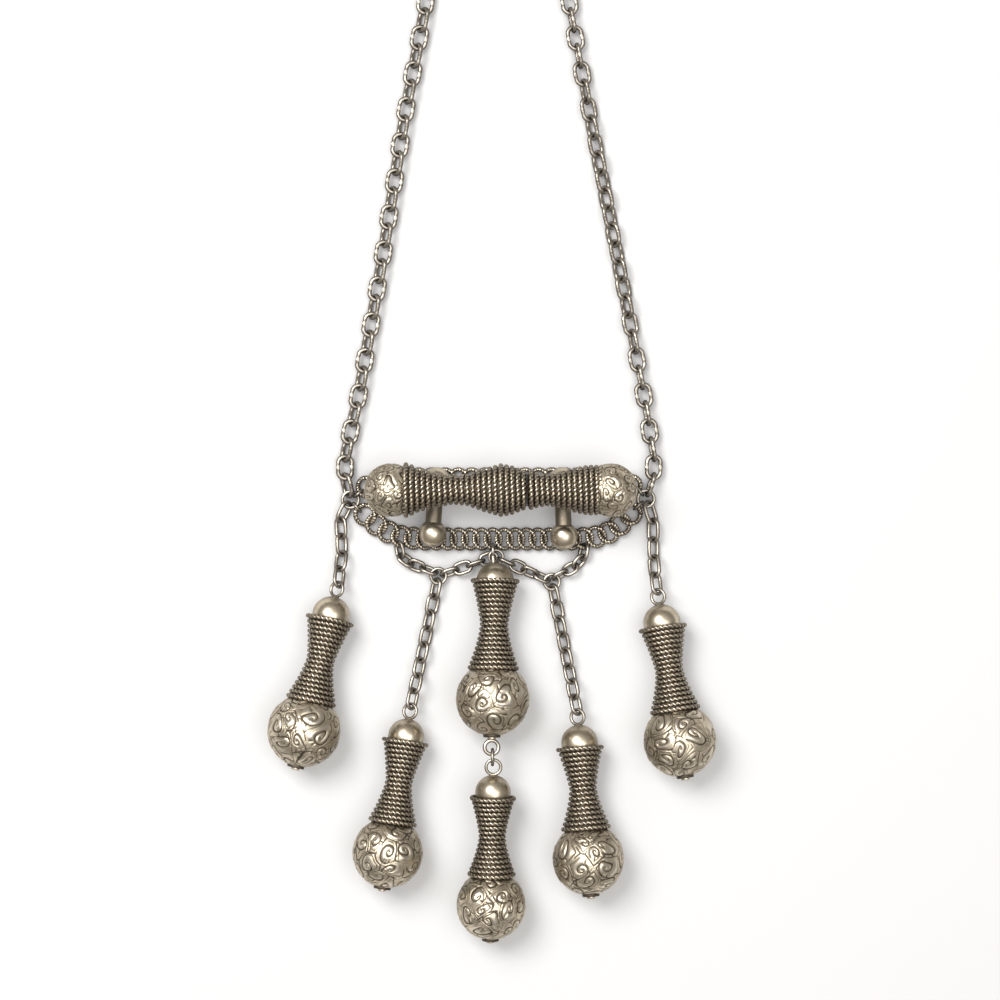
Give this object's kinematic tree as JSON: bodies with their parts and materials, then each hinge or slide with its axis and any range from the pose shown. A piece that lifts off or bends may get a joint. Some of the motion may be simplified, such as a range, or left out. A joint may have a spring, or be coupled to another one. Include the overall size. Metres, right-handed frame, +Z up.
{
  "type": "silver necklace",
  "caption": "Long necklace with a wound bar, ring chains and waisted drop pendants ending in embossed balls, on a closed oval-link neck chain.",
  "frame": {"origin": "middle of the outline seen from above, on the surface the necklace lies on", "axes": "+X to the right across the bar, +Y up the neck chain towards the nape, +Z up from the surface"},
  "size_m": [0.1142, 0.3381, 0.0217],
  "materials": {
    "chain_silver": "worn satin silver",
    "twisted_silver": "beaded wire, darkened between the strands",
    "wound_silver": "twisted wire wound tight, darkened in the grooves",
    "embossed_silver": "embossed, bright on the raised scrolls",
    "polished_silver": "polished and worn"
  },
  "bodies": {
    "root": {"neck_chain_left": "chain_silver", "neck_chain_right": "chain_silver", "clasp_hook": "chain_silver", "end_rings_left": "chain_silver", "end_rings_right": "chain_silver", "ring_chain_front": "twisted_silver", "ring_chain_back": "twisted_silver", "cross_pin_left": "polished_silver", "cross_pin_right": "polished_silver", "bar_ball_left": "embossed_silver", "bar_ball_right": "embossed_silver", "bar_winding_left": "wound_silver", "bar_winding_right": "wound_silver", "swag_ring_left": "chain_silver", "swag_ring_right": "chain_silver", "swag_ring_centre": "chain_silver", "swag_left": "chain_silver", "swag_left_centre": "chain_silver", "swag_right_centre": "chain_silver", "swag_right": "chain_silver", "drop_chain_outer_left": "chain_silver", "drop_chain_inner_left": "chain_silver", "drop_chain_inner_right": "chain_silver", "drop_chain_outer_right": "chain_silver", "tail_link": "chain_silver", "cap_outer_left": "polished_silver", "cap_inner_left": "polished_silver", "cap_centre": "polished_silver", "cap_tail": "polished_silver", "cap_inner_right": "polished_silver", "cap_outer_right": "polished_silver", "winding_outer_left": "wound_silver", "winding_inner_left": "wound_silver", "winding_centre": "wound_silver", "winding_tail": "wound_silver", "winding_inner_right": "wound_silver", "winding_outer_right": "wound_silver", "ball_outer_left": "embossed_silver", "ball_inner_left": "embossed_silver", "ball_centre": "embossed_silver", "ball_tail": "embossed_silver", "ball_inner_right": "embossed_silver", "ball_outer_right": "embossed_silver"}
  },
  "joints": []
}
